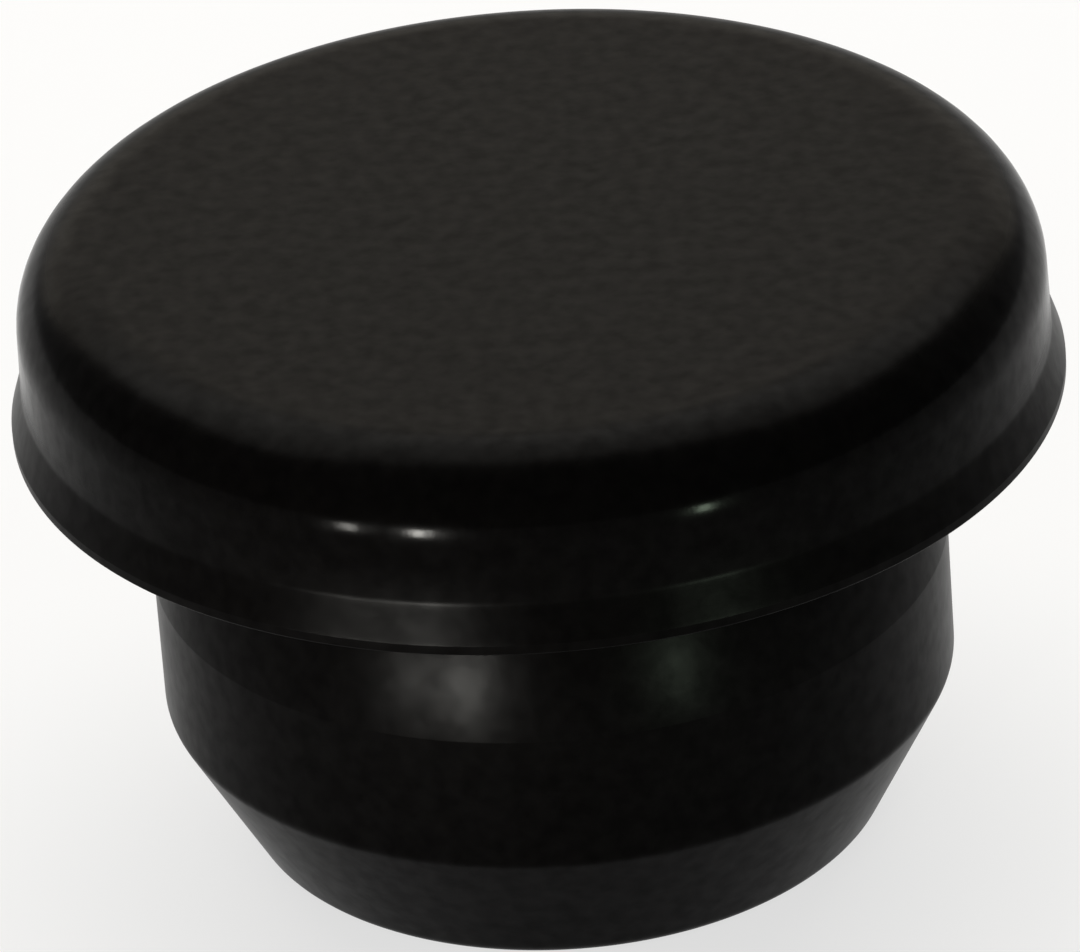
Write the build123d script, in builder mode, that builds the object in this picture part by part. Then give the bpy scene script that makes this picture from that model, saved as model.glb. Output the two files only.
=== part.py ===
"""One-piece moulded plug that closes a round hole in a panel.

The plug is pushed in from the outside of the panel, narrow end first, until the thin lip
round the head lies on the panel and the barb on the shank has passed the hole.

Frame: millimetres, Z up along the plug's axis. The origin is the centre of the lip's seat,
so the head stands above Z = 0 and the shank hangs below it.
"""

import os
from math import radians, tan

from build123d import *

# Head: a shallow cap with a rounded shoulder, a drafted skirt and a thin flared lip
lip_diameter = 25.4
lip_flare = 0.3  # how far the lip stands out past the foot of the skirt
lip_height = 1.2  # height over which the skirt turns out into the lip
lip_edge = 0.25  # width of the lip's seat, where it is thinnest
lip_curve = 2.0  # hollow radius between skirt and lip
head_height = 4.6
shoulder_radius = 1.95
skirt_draft = 1.6  # degrees
crown_wall = 1.8
skirt_wall = 1.5

# Groove under the head, between the skirt and the neck, which lets the lip flex
groove_mouth = 1.6  # height over which the groove widens towards the lip

# Shank: neck, barb with a bowed rear flank, straight land and tapered nose
shank_diameter = 19.3  # over the land, the widest place
barb_step = 0.9  # how far the land stands out past the neck
neck_length = 0.9
flank_length = 3.3
flank_bow = 14.0  # radius of the flank's outward bow
land_length = 3.4
land_round = 0.5
nose_length = 3.7
nose_step = 1.95  # how far the nose tapers in from the land
nose_round = 0.6

# Blind bore that cores out the shank up to the crown
end_wall = 1.3  # wall of the shank at its open end
bore_draft = 0.75  # degrees
mouth_bevel = 0.25
inner_bevel = 0.4  # on the inner corners of the bore and the groove

# Levels along the axis
crown_inside = head_height - crown_wall
flank_top = -neck_length
barb_top = flank_top - flank_length
nose_top = barb_top - land_length
nose_end = nose_top - nose_length

# Radii at those levels
lip_radius = lip_diameter / 2
skirt_foot = lip_radius - lip_flare
skirt_top = skirt_foot - (head_height - lip_height) * tan(radians(skirt_draft))
groove_outer = skirt_foot - skirt_wall
shank_radius = shank_diameter / 2
neck_radius = shank_radius - barb_step
nose_radius = shank_radius - nose_step
bore_mouth = nose_radius - end_wall
bore_end = bore_mouth - (crown_inside - nose_end) * tan(radians(bore_draft))

with BuildPart() as hole_plug:
    # Half section in the XZ plane, X along the radius, turned round the axis in one piece
    with BuildSketch(Plane.XZ):
        with BuildLine():
            # Crown, shoulder, skirt and lip, down to the seat on the panel
            head = FilletPolyline(
                (0, head_height),
                (skirt_top, head_height),
                (skirt_foot, lip_height),
                (lip_radius, lip_edge),
                (lip_radius, 0),
                (lip_radius - lip_edge, 0),
                radius=(shoulder_radius, lip_curve, 0, 0),
            )
            # Groove under the head, and the neck
            neck = Polyline(
                head @ 1,
                (groove_outer, groove_mouth),
                (groove_outer, crown_inside - inner_bevel),
                (groove_outer - inner_bevel, crown_inside),
                (neck_radius + inner_bevel, crown_inside),
                (neck_radius, crown_inside - inner_bevel),
                (neck_radius, flank_top),
            )
            # Rear flank of the barb, bowed outwards
            flank = RadiusArc(neck @ 1, (shank_radius, barb_top), flank_bow)
            # Land, tapered nose and open end
            nose = FilletPolyline(
                flank @ 1,
                (shank_radius, nose_top),
                (nose_radius, nose_end),
                (bore_mouth + mouth_bevel, nose_end),
                radius=(land_round, nose_round),
            )
            # Blind bore, back to the axis
            bore = Polyline(
                nose @ 1,
                (bore_mouth, nose_end + mouth_bevel),
                (bore_end, crown_inside - inner_bevel),
                (bore_end - inner_bevel, crown_inside),
                (0, crown_inside),
            )
            Line(bore @ 1, head @ 0)
        make_face()
    revolve(axis=Axis.Z)
hole_plug.part.label = "hole_plug"

os.makedirs("parts", exist_ok=True)
export_step(hole_plug.part, "parts/hole_plug.step")
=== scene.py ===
"""A black moulded hole plug, standing head up on a pale floor under soft light."""

from math import asin, ceil, copysign, cos, pi, radians, sin, tan

import bpy
from mathutils import Matrix, Vector


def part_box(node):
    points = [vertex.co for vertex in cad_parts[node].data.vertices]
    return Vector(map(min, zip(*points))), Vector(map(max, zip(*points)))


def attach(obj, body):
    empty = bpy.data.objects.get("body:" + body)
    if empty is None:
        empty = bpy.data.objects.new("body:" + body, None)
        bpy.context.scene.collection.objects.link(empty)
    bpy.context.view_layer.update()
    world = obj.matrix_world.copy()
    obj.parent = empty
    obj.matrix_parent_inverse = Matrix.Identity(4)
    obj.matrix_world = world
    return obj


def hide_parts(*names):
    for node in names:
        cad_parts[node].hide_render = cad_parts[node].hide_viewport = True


MM = 0.001

# Plug, in millimetres and degrees: the sizes of the frame's solid
LIP_FLARE = 0.3
LIP_HEIGHT = 1.2
LIP_EDGE = 0.25
SHOULDER_RADIUS = 1.95
SKIRT_DRAFT = 1.6
CROWN_WALL = 1.8
SKIRT_WALL = 1.5
GROOVE_MOUTH = 1.6
SHANK_RADIUS = 9.65
BARB_STEP = 0.9
NECK_LENGTH = 0.9
FLANK_LENGTH = 3.3
FLANK_BOW = 14.0
LAND_LENGTH = 3.4
NOSE_STEP = 1.95
END_WALL = 1.3
BORE_DRAFT = 0.75

# Rounds of the moulding, in millimetres: the hollow above the lip is tighter than the solid's
LIP_CURVE = 0.5
EDGE_ROUND = 0.05
BARB_ROUND = 0.12
LAND_ROUND = 0.5
NOSE_ROUND = 0.6
MOUTH_ROUND = 0.2
INNER_ROUND = 0.4

# Mesh of the plug: a guard ring beside each round keeps its shading off the straights
SEGMENTS = 256
ARC_STEP = radians(7)
FLANK_STEPS = 12
GUARD = 0.1
MERGE_WITHIN = 0.0001 * MM

# Finish: satin on the crown and below the skirt, with a shinier band round the head between
BAND_BOTTOM = (1.4, 2.2)
BAND_TOP = (3.4, 4.4)
BAND_ROUGHNESS = 0.14
SATIN_ROUGHNESS = 0.30
SHINE = (0.018, 0.028)
DARK_BLACK = (0.0005, 0.0004, 0.0004, 1)
SOFT_BLACK = (0.0014, 0.0012, 0.0011, 1)
MOTTLE_SCALE = 2200
GRAIN_SCALE = 3000
GRAIN_STRENGTH = 0.25
GRAIN_DEPTH = 0.01 * MM

# Camera, in millimetres and degrees: looks down on the head, leaning a little to one side
CAMERA_DISTANCE = 254
CAMERA_LENS = 350.1
CAMERA_ELEVATION = 29.5
CAMERA_ROLL = 4.4
CAMERA_AIM = Vector((-0.13, 0.0, -2.48))

# Floor, in metres, just under the plug: part of its paleness is lit and part is its own
FLOOR_SIZE = 6.0
FLOOR_GAP = 0.02 * MM
FLOOR_COLOUR = 0.23
FLOOR_GLOW = 0.68

# Light: two panels behind and above, and small upright lamps low beside the plug
WARM = (1.0, 0.92, 0.78)
FAINTLY_WARM = (1.0, 0.97, 0.91)
NEUTRAL = (1.0, 0.98, 0.92)
GREENISH = (0.80, 1.0, 0.76)
WORLD_LEVEL = 0.3
PANEL_DISTANCE = 0.60
PANELS = {
    "back_panel": ((90, 22), (0.90, 0.30), 1.3, WARM),
    "top_panel": ((90, 64), (0.90, 0.53), 3.5, FAINTLY_WARM),
}
GLINT_DISTANCE = 0.065
GLINT_ELEVATION = -4.8
GLINT_HEIGHT = 0.009
GLINT_SPREAD = 36
GLINTS = {
    "left_lamp": (-114.5, 0.0022, 700, NEUTRAL),
    "far_left_lamp": (-128.6, 0.0018, 340, NEUTRAL),
    "right_lamp": (-60.3, 0.0018, 210, GREENISH),
}


def arc(start, centre, turn, count):
    """Points after start on an arc round centre that turns left by that angle."""
    arm = start - centre
    return [centre + Matrix.Rotation(turn * i / count, 2) @ arm for i in range(1, count + 1)]


def bowed(start, end, radius):
    """Points from start to end on an arc of that radius, bowed to the left of the way."""
    start, end = Vector(start), Vector(end)
    way = end - start
    half = way.length / 2
    right = Vector((way.y, -way.x)).normalized()
    centre = (start + end) / 2 + right * (radius**2 - half**2) ** 0.5
    return [start, *arc(start, centre, -2 * asin(half / radius), FLANK_STEPS)]


def rounded(corners):
    """Outline through corners (x, z, radius), each cut by an arc with guard points beside it."""
    points = [Vector(corners[0][:2])]

    def straight_to(end):
        way = end - points[-1]
        if way.length > 3 * GUARD:
            step = way.normalized() * GUARD
            points.extend((points[-1] + step, end - step))
        points.append(end)

    for before, (x, z, radius), after in zip(corners, corners[1:], corners[2:]):
        corner = Vector((x, z))
        way_in = (corner - Vector(before[:2])).normalized()
        way_out = (Vector(after[:2]) - corner).normalized()
        turn = -way_in.angle_signed(way_out)
        straight_to(corner - way_in * radius * tan(abs(turn) / 2))
        if radius:
            left = Vector((-way_in.y, way_in.x))
            centre = points[-1] + left * copysign(radius, turn)
            points += arc(points[-1], centre, turn, max(2, ceil(abs(turn) / ARC_STEP)))
    straight_to(Vector(corners[-1][:2]))
    return points


def plug_outline(lip_radius, top, bottom):
    """Half section from the middle of the crown, over the outside, to the end of the bore."""
    skirt_foot = lip_radius - LIP_FLARE
    skirt_top = skirt_foot - (top - LIP_HEIGHT) * tan(radians(SKIRT_DRAFT))
    groove_outer = skirt_foot - SKIRT_WALL
    inside = top - CROWN_WALL
    neck = SHANK_RADIUS - BARB_STEP
    barb_top = -NECK_LENGTH - FLANK_LENGTH
    nose_radius = SHANK_RADIUS - NOSE_STEP
    bore_mouth = nose_radius - END_WALL
    bore_end = bore_mouth - (inside - bottom) * tan(radians(BORE_DRAFT))
    *flank, barb = bowed((neck, -NECK_LENGTH), (SHANK_RADIUS, barb_top), FLANK_BOW)
    return rounded([
        (0, top, 0),
        (skirt_top, top, SHOULDER_RADIUS),
        (skirt_foot, LIP_HEIGHT, LIP_CURVE),
        (lip_radius, LIP_EDGE, EDGE_ROUND),
        (lip_radius, 0, EDGE_ROUND),
        (lip_radius - LIP_EDGE, 0, EDGE_ROUND),
        (groove_outer, GROOVE_MOUTH, INNER_ROUND),
        (groove_outer, inside, INNER_ROUND),
        (neck, inside, INNER_ROUND),
        *[(*point, 0) for point in flank],
        (*barb, BARB_ROUND),
        (SHANK_RADIUS, barb_top - LAND_LENGTH, LAND_ROUND),
        (nose_radius, bottom, NOSE_ROUND),
        (bore_mouth, bottom, MOUTH_ROUND),
        (bore_end, inside, INNER_ROUND),
        (0, inside, 0),
    ])


def turning_tree():
    """Geometry nodes that turn an outline in the XZ plane about Z into one closed skin."""
    tree = bpy.data.node_groups.new("turned_about_axis", "GeometryNodeTree")
    new_socket = tree.interface.new_socket
    new_socket("Outline", in_out="INPUT", socket_type="NodeSocketGeometry")
    segments = new_socket("Segments", in_out="INPUT", socket_type="NodeSocketInt")
    finish = new_socket("Finish", in_out="INPUT", socket_type="NodeSocketMaterial")
    new_socket("Skin", in_out="OUTPUT", socket_type="NodeSocketGeometry")

    def node(kind, inputs=None, **settings):
        added = tree.nodes.new(kind)
        for setting, value in settings.items():
            setattr(added, setting, value)
        for key, value in (inputs or {}).items():
            if isinstance(value, bpy.types.NodeSocket):
                tree.links.new(value, added.inputs[key])
            else:
                added.inputs[key].default_value = value
        return added.outputs

    def whole(operation, one, other):
        return node("FunctionNodeIntegerMath", {0: one, 1: other}, operation=operation)[0]

    def number(operation, one, other):
        return node("ShaderNodeMath", {0: one, 1: other}, operation=operation)[0]

    # A grid with one row for each point of the outline, and one column more than segments
    given = node("NodeGroupInput")
    outline = given["Outline"]
    columns = whole("ADD", given["Segments"], 1)
    rows = node("GeometryNodeAttributeDomainSize", {"Geometry": outline})["Point Count"]
    skin = node("GeometryNodeMeshGrid", {"Vertices X": rows, "Vertices Y": columns})[0]

    # Each point of the grid goes to its row's place on the outline, turned by its column's angle
    index = node("GeometryNodeInputIndex")[0]
    row = whole("DIVIDE_FLOOR", index, columns)
    share = number("DIVIDE", whole("MODULO", index, columns), given["Segments"])
    angle = number("MULTIPLY", share, 2 * pi)
    own_place = node("GeometryNodeInputPosition")[0]
    sampled = {"Geometry": outline, "Value": own_place, "Index": row}
    place = node("GeometryNodeSampleIndex", sampled, data_type="FLOAT_VECTOR")[0]
    swung = {"Vector": place, "Angle": angle}
    place = node("ShaderNodeVectorRotate", swung, rotation_type="Z_AXIS")[0]
    skin = node("GeometryNodeSetPosition", {"Geometry": skin, "Position": place})[0]

    # The seam and the two ends on the axis are closed
    skin = node("GeometryNodeMergeByDistance", {"Geometry": skin, "Distance": MERGE_WITHIN})[0]
    skin = node("GeometryNodeSetShadeSmooth", {"Geometry": skin})[0]
    skin = node("GeometryNodeRealizeInstances", {"Geometry": skin})[0]
    skin = node("GeometryNodeSetMaterial", {"Geometry": skin, "Material": given["Finish"]})[0]
    node("NodeGroupOutput", {"Skin": skin})
    return tree, segments.identifier, finish.identifier


def turned(name, outline, material):
    """Smooth closed mesh of an outline in millimetres, its ends on the axis, turned about Z."""
    points = [(x * MM, 0, z * MM) for x, z in outline]
    half_section = bpy.data.meshes.new(name + "_half_section")
    half_section.from_pydata(points, [(i, i + 1) for i in range(len(points) - 1)], [])
    piece = linked(name, half_section)
    tree, segments, finish = turning_tree()
    modifier = piece.modifiers.new("turned", "NODES")
    modifier.node_group = tree
    modifier[segments] = SEGMENTS
    modifier[finish] = material
    evaluated = piece.evaluated_get(bpy.context.evaluated_depsgraph_get())
    skin = bpy.data.meshes.new_from_object(evaluated)
    piece.modifiers.clear()
    piece.data = skin
    skin.name = name
    return piece


def linked(name, data):
    """New object of that data, in the scene."""
    item = bpy.data.objects.new(name, data)
    bpy.context.scene.collection.objects.link(item)
    return item


def new_material(name):
    """Empty node material, with its nodes and links."""
    material = bpy.data.materials.new(name)
    material.use_nodes = True
    material.node_tree.nodes.clear()
    return material, material.node_tree.nodes, material.node_tree.links


def noise(nodes, links, place, scale, detail):
    """Factor of a noise on that place."""
    texture = nodes.new("ShaderNodeTexNoise")
    texture.inputs["Scale"].default_value = scale
    texture.inputs["Detail"].default_value = detail
    links.new(place, texture.inputs["Vector"])
    return texture.outputs["Fac"]


def ranged(nodes, links, value, given, wanted):
    """Value brought from one pair of limits to another."""
    node = nodes.new("ShaderNodeMapRange")
    node.inputs["From Min"].default_value, node.inputs["From Max"].default_value = given
    node.inputs["To Min"].default_value, node.inputs["To Max"].default_value = wanted
    links.new(value, node.inputs["Value"])
    return node.outputs["Result"]


def larger(nodes, links, one, other):
    """The larger of two values."""
    node = nodes.new("ShaderNodeMath")
    node.operation = "MAXIMUM"
    links.new(one, node.inputs[0])
    links.new(other, node.inputs[1])
    return node.outputs["Value"]


def moulded_black():
    """Near-black plastic with a faint mottle, satin but for the shinier band round the head."""
    material, nodes, links = new_material("moulded_black_plastic")
    output = nodes.new("ShaderNodeOutputMaterial")
    shader = nodes.new("ShaderNodeBsdfPrincipled")
    links.new(shader.outputs["BSDF"], output.inputs["Surface"])
    place = nodes.new("ShaderNodeTexCoord").outputs["Object"]

    mottle = noise(nodes, links, place, MOTTLE_SCALE, 3)
    tint = nodes.new("ShaderNodeValToRGB")
    tint.color_ramp.elements[0].color = DARK_BLACK
    tint.color_ramp.elements[1].color = SOFT_BLACK
    links.new(mottle, tint.inputs["Fac"])
    links.new(tint.outputs["Color"], shader.inputs["Base Color"])
    shine = ranged(nodes, links, mottle, (0.3, 0.7), SHINE)
    links.new(shine, shader.inputs["Specular IOR Level"])

    split = nodes.new("ShaderNodeSeparateXYZ")
    links.new(place, split.inputs["Vector"])
    height = split.outputs["Z"]
    low_end, high_end = ([z * MM for z in levels] for levels in (BAND_BOTTOM, BAND_TOP))
    below = ranged(nodes, links, height, low_end, (SATIN_ROUGHNESS, BAND_ROUGHNESS))
    above = ranged(nodes, links, height, high_end, (BAND_ROUGHNESS, SATIN_ROUGHNESS))
    links.new(larger(nodes, links, above, below), shader.inputs["Roughness"])

    bump = nodes.new("ShaderNodeBump")
    bump.inputs["Strength"].default_value = GRAIN_STRENGTH
    bump.inputs["Distance"].default_value = GRAIN_DEPTH
    links.new(noise(nodes, links, place, GRAIN_SCALE, 2), bump.inputs["Height"])
    links.new(bump.outputs["Normal"], shader.inputs["Normal"])
    return material


def pale_floor(height):
    """Wide white floor with a soft shadow, evenly pale to the camera and in reflections."""
    material, nodes, links = new_material("pale_floor")
    output = nodes.new("ShaderNodeOutputMaterial")
    matt = nodes.new("ShaderNodeBsdfDiffuse")
    matt.inputs["Color"].default_value = (FLOOR_COLOUR, FLOOR_COLOUR, FLOOR_COLOUR, 1)
    rays = nodes.new("ShaderNodeLightPath").outputs
    seen = larger(nodes, links, rays["Is Camera Ray"], rays["Is Glossy Ray"])
    seen = larger(nodes, links, seen, rays["Is Transmission Ray"])
    glow = nodes.new("ShaderNodeEmission")
    links.new(ranged(nodes, links, seen, (0, 1), (0, FLOOR_GLOW)), glow.inputs["Strength"])
    both = nodes.new("ShaderNodeAddShader")
    links.new(matt.outputs["BSDF"], both.inputs[0])
    links.new(glow.outputs["Emission"], both.inputs[1])
    links.new(both.outputs["Shader"], output.inputs["Surface"])

    bpy.ops.mesh.primitive_plane_add(size=FLOOR_SIZE, location=(0, 0, height))
    floor = bpy.context.object
    floor.name = "floor"
    floor.data.materials.append(material)


def towards(azimuth, elevation):
    """Unit vector from the plug towards a place, angles in degrees."""
    az, el = radians(azimuth), radians(elevation)
    return Vector((cos(el) * cos(az), cos(el) * sin(az), sin(el)))


def lamp(name, direction, distance, size, radiance, colour, spread=180):
    """Rectangular lamp that faces the plug; radiance is what it shows head on."""
    light = bpy.data.lights.new(name, "AREA")
    light.shape = "RECTANGLE"
    light.size, light.size_y = size
    light.color = colour
    light.spread = radians(spread)
    half = light.spread / 2
    light.energy = radiance * size[0] * size[1] * pi * (1 - half / tan(half))
    holder = linked(name, light)
    holder.location = direction * distance
    holder.rotation_euler = direction.to_track_quat("Z", "Y").to_euler()
    holder.visible_camera = False


def studio_light():
    """Dim even world, panels for the sheen on the crown, small lamps for the spots of shine."""
    world = bpy.data.worlds.new("even_light")
    world.use_nodes = True
    background = world.node_tree.nodes["Background"]
    background.inputs["Color"].default_value = (1, 1, 1, 1)
    background.inputs["Strength"].default_value = WORLD_LEVEL
    bpy.context.scene.world = world
    for name, (place, size, radiance, colour) in PANELS.items():
        lamp(name, towards(*place), PANEL_DISTANCE, size, radiance, colour)
    for name, (azimuth, width, radiance, colour) in GLINTS.items():
        direction = towards(azimuth, GLINT_ELEVATION)
        size = (width, GLINT_HEIGHT)
        lamp(name, direction, GLINT_DISTANCE, size, radiance, colour, GLINT_SPREAD)


def camera():
    """Camera in front of the plug, looking down on it."""
    data = bpy.data.cameras.new("camera")
    data.lens = CAMERA_LENS
    back = towards(-90, CAMERA_ELEVATION)
    place = Matrix.Translation((CAMERA_AIM + back * CAMERA_DISTANCE) * MM)
    facing = back.to_track_quat("Z", "Y").to_matrix().to_4x4()
    view = linked("camera", data)
    view.matrix_world = place @ facing @ Matrix.Rotation(radians(-CAMERA_ROLL), 4, "Z")
    bpy.context.scene.camera = view


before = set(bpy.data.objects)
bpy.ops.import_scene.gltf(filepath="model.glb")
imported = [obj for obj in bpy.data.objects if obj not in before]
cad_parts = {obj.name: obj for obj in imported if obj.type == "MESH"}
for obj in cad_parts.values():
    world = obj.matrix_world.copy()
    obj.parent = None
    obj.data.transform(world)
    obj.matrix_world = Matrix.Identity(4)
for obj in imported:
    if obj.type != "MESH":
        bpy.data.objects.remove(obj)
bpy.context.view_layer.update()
low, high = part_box("hole_plug")

outline = plug_outline(high[0] / MM, high[2] / MM, low[2] / MM)
plug = turned("moulded_plug", outline, moulded_black())
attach(plug, "root")
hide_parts("hole_plug")

pale_floor(low[2] - FLOOR_GAP)
studio_light()
camera()
bpy.context.scene.view_settings.view_transform = "Standard"
